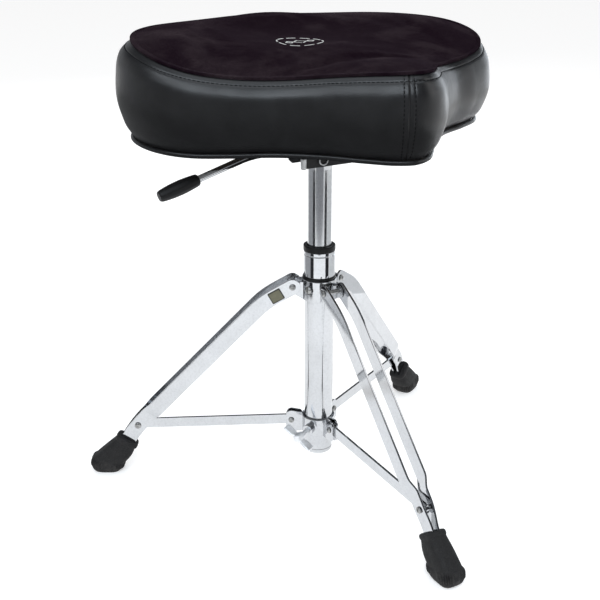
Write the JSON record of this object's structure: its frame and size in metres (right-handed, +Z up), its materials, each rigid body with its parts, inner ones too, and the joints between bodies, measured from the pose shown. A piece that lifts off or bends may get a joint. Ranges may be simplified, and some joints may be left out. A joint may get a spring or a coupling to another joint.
{
  "type": "drum throne",
  "caption": "Drum throne with a velvet-topped saddle seat on a gas height column with a lever, over a folding chrome tripod with braces, sliding collar and rubber feet.",
  "frame": {"origin": "centre of the bounding box's bottom face, on the floor under the feet; the column's axis stands 56.5 mm behind it", "axes": "+Z up; -Y towards the seat's nose and the front leg; -X towards the player's right, where the height lever is"},
  "size_m": [0.4972, 0.4526, 0.5422],
  "materials": {
    "chrome": "mirror-bright chrome plate",
    "post_chrome": "hard chrome plate",
    "steel": "zinc-plated",
    "dark_steel": "satin black powder coat",
    "black_plastic": "fine matte",
    "rubber": "matte moulded rubber",
    "velvet": "short-pile velvet",
    "vinyl": "satin vinyl with a fine grain",
    "plywood": "black-stained plywood",
    "foam": "open-cell polyurethane foam",
    "label": "satin printed foil, left blank"
  },
  "bodies": {
    "base": {"column_tube": "chrome", "tube_end_cap": "chrome", "column_sleeve": "chrome", "sleeve_ring": "black_plastic", "post_bushing": "black_plastic", "upper_hub": "chrome", "hub_screw_1": "steel", "hub_screw_2": "steel", "hub_screw_3": "steel", "front_pivot_pin": "steel", "right_pivot_pin": "steel", "left_pivot_pin": "steel"},
    "gas_spring_rod": {"gas_rod": "steel", "gas_piston": "steel", "rod_clip": "steel"},
    "seat": {"gas_post": "post_chrome", "post_gland": "black_plastic", "seat_channel": "dark_steel", "cheek_clip": "steel", "lever_pin": "steel", "lever_spring": "steel", "mounting_plate": "dark_steel", "plate_bolt_1": "steel", "plate_bolt_2": "steel", "plate_bolt_3": "steel", "plate_bolt_4": "steel", "seat_board": "plywood", "foam_core": "foam", "side_cover": "vinyl", "top_cover": "velvet", "welt_piping": "vinyl"},
    "lever": {"height_lever": "chrome", "lever_grip": "black_plastic"},
    "valve_button": {"valve_button": "steel"},
    "collar": {"lower_hub": "chrome", "front_collar_pin": "steel", "right_collar_pin": "steel", "left_collar_pin": "steel"},
    "wing_bolt": {"wing_bolt": "chrome"},
    "front_leg": {"front_leg_strip_a": "chrome", "front_leg_strip_b": "chrome", "front_brace_rivet_a": "steel", "front_brace_rivet_b": "steel", "front_boot": "rubber"},
    "front_brace": {"front_brace": "chrome"},
    "right_leg": {"right_leg_strip_a": "chrome", "right_leg_strip_b": "chrome", "right_brace_rivet_a": "steel", "right_brace_rivet_b": "steel", "right_boot": "rubber", "leg_label": "label"},
    "right_brace": {"right_brace": "chrome"},
    "left_leg": {"left_leg_strip_a": "chrome", "left_leg_strip_b": "chrome", "left_brace_rivet_a": "steel", "left_brace_rivet_b": "steel", "left_boot": "rubber"},
    "left_brace": {"left_brace": "chrome"}
  },
  "joints": [
    {"name": "seat_swivel", "type": "hinge", "parent": "base", "child": "gas_spring_rod", "pos_m": [0, 0.0565, 0.05], "axis": [0, 0, 1], "continuous": true},
    {"name": "seat_height", "type": "slide", "parent": "gas_spring_rod", "child": "seat", "axis": [0, 0, 1], "range_m": [-0.07, 0.06]},
    {"name": "height_lever", "type": "hinge", "parent": "seat", "child": "lever", "pos_m": [-0.0065, 0.0565, 0.399], "axis": [0, 1, 0], "range_deg": [0, 6], "stiffness_Nm_per_rad": 3, "springref_deg": -6.88},
    {"name": "valve_button", "type": "slide", "parent": "seat", "child": "valve_button", "axis": [0, 0, -1], "range_m": [0, 0.0007]},
    {"name": "collar_slide", "type": "slide", "parent": "base", "child": "collar", "axis": [0, 0, 1], "range_m": [0, 0.101]},
    {"name": "wing_bolt_turn", "type": "hinge", "parent": "collar", "child": "wing_bolt", "pos_m": [-0.03897, 0.034, 0.066], "axis": [-0.866, -0.5, 0], "continuous": true},
    {"name": "front_leg_fold", "type": "hinge", "parent": "base", "child": "front_leg", "pos_m": [0, 0.0255, 0.247], "axis": [1, 0, 0], "range_deg": [0, 43.75]},
    {"name": "right_leg_fold", "type": "hinge", "parent": "base", "child": "right_leg", "pos_m": [-0.02685, 0.072, 0.247], "axis": [-0.5, -0.866, 0], "range_deg": [0, 43.75]},
    {"name": "left_leg_fold", "type": "hinge", "parent": "base", "child": "left_leg", "pos_m": [0.02685, 0.072, 0.247], "axis": [-0.5, 0.866, 0], "range_deg": [0, 43.75]},
    {"name": "front_brace_fold", "type": "hinge", "parent": "collar", "child": "front_brace", "pos_m": [0, 0.0235, 0.0705], "axis": [1, 0, 0], "range_deg": [0, 85.47]},
    {"name": "right_brace_fold", "type": "hinge", "parent": "collar", "child": "right_brace", "pos_m": [-0.02858, 0.073, 0.0705], "axis": [-0.5, -0.866, 0], "range_deg": [0, 85.47]},
    {"name": "left_brace_fold", "type": "hinge", "parent": "collar", "child": "left_brace", "pos_m": [0.02858, 0.073, 0.0705], "axis": [-0.5, 0.866, 0], "range_deg": [0, 85.47]}
  ],
  "couplings": [
    {"joint": "right_leg_fold", "follows": "front_leg_fold", "ratio": 1},
    {"joint": "left_leg_fold", "follows": "front_leg_fold", "ratio": 1},
    {"joint": "collar_slide", "follows": "front_leg_fold", "m_per_rad": 0.13205},
    {"joint": "valve_button", "follows": "height_lever", "m_per_rad": 0.0065},
    {"joint": "front_brace_fold", "follows": "front_leg_fold", "ratio": 1.9513},
    {"joint": "right_brace_fold", "follows": "front_leg_fold", "ratio": 1.9513},
    {"joint": "left_brace_fold", "follows": "front_leg_fold", "ratio": 1.9513}
  ]
}
